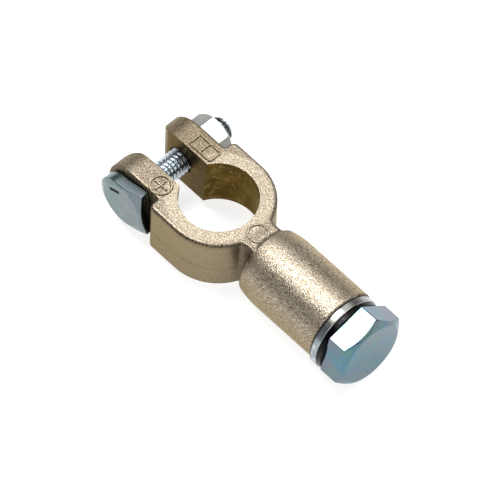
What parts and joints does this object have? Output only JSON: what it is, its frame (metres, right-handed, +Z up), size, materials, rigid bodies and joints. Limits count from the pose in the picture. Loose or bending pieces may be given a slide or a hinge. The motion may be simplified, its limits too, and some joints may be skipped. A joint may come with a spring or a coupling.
{
  "type": "battery terminal clamp",
  "caption": "Cast battery terminal clamp: a split tapered ring tightened by a cross bolt, and a barrel with a cable bolt and washers.",
  "frame": {"origin": "centre of the post bore on the underside of the ring", "axes": "+X along the cable barrel towards the cable bolt's head, +Y along the clamp bolt towards its nut, +Z up the battery post"},
  "size_m": [0.0718, 0.0303, 0.0192],
  "materials": {
    "cast_body": "tinned and shot blasted, satin",
    "clamp_bolt_zinc": "zinc plated, smooth",
    "nut_zinc": "zinc plated, smooth",
    "washer_zinc": "zinc plated, smooth",
    "spring_steel": "blackened spring steel",
    "cable_bolt_zinc": "zinc plated, smooth"
  },
  "bodies": {
    "clamp_body": {"clamp_body": "cast_body"},
    "clamp_nut": {"clamp_nut": "nut_zinc"},
    "clamp_bolt": {"clamp_bolt": "clamp_bolt_zinc"},
    "washers": {"flat_washer": "washer_zinc", "spring_washer": "spring_steel"},
    "cable_bolt": {"cable_bolt": "cable_bolt_zinc"}
  },
  "joints": [
    {"name": "nut_turn", "type": "hinge", "parent": "clamp_body", "child": "clamp_nut", "pos_m": [-0.01625, 0.0099, 0.0074], "axis": [0, 1, 0], "range_deg": [0, 2340.01]},
    {"name": "clamp_bolt_slide", "type": "slide", "parent": "clamp_body", "child": "clamp_bolt", "axis": [0, -1, 0], "range_m": [0, 0.0065]},
    {"name": "washers_slide", "type": "slide", "parent": "clamp_body", "child": "washers", "axis": [1, 0, 0], "range_m": [0, 0.0165]},
    {"name": "cable_bolt_turn", "type": "hinge", "parent": "washers", "child": "cable_bolt", "pos_m": [0.0418, 0, 0.0074], "axis": [1, 0, 0], "range_deg": [0, 3960.01]}
  ],
  "couplings": [
    {"joint": "nut_turn", "follows": "clamp_bolt_slide", "rad_per_m": 6283.2},
    {"joint": "cable_bolt_turn", "follows": "washers_slide", "rad_per_m": 4188.8}
  ]
}
